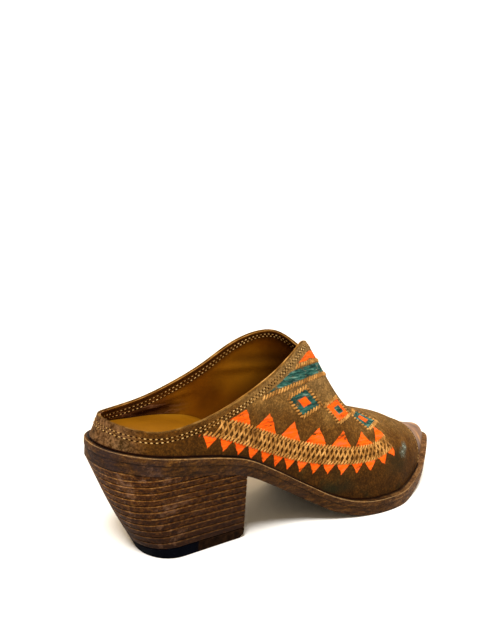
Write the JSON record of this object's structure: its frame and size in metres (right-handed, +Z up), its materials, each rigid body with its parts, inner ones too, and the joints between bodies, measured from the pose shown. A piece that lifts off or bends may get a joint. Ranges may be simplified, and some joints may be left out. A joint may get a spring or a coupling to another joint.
{
  "type": "clog",
  "caption": "Right-foot western clog: an open-backed leather mule with a snip toe cap, a welted sole and a raked stacked heel.",
  "frame": {"origin": "on the ground under the middle of the shoe's bounding box", "axes": "+X towards the toe, +Y towards the inner (medial) side of the foot, +Z up"},
  "size_m": [0.284, 0.0844, 0.1128],
  "materials": {
    "suede": "oiled suede, olive brown, mottled and scuffed",
    "smooth_leather": "smooth waxed leather, pinkish brown",
    "insole_leather": "ochre lining leather, polished by wear",
    "welt_leather": "burnished dark brown edge",
    "sole_leather": "scuffed dark brown edge",
    "stacked_leather": "stacked leather with pale glue lines",
    "rubber": "matt black rubber",
    "lining_leather": "smooth ochre lining leather, creased and darker inside",
    "thread": "cream and tan waxed thread",
    "teal_paint": "teal leather paint, streaked",
    "orange_paint": "orange leather paint, brushed on"
  },
  "bodies": {
    "root": {"upper": "suede", "toe_cap": "smooth_leather", "insole": "insole_leather", "welt": "welt_leather", "outsole": "sole_leather", "heel_wedge": "stacked_leather", "heel_lift_01": "stacked_leather", "heel_lift_02": "stacked_leather", "heel_lift_03": "stacked_leather", "heel_lift_04": "stacked_leather", "heel_lift_05": "stacked_leather", "heel_lift_06": "stacked_leather", "heel_lift_07": "stacked_leather", "heel_lift_08": "stacked_leather", "heel_lift_09": "stacked_leather", "heel_lift_10": "stacked_leather", "top_lift": "rubber"}
  },
  "joints": []
}
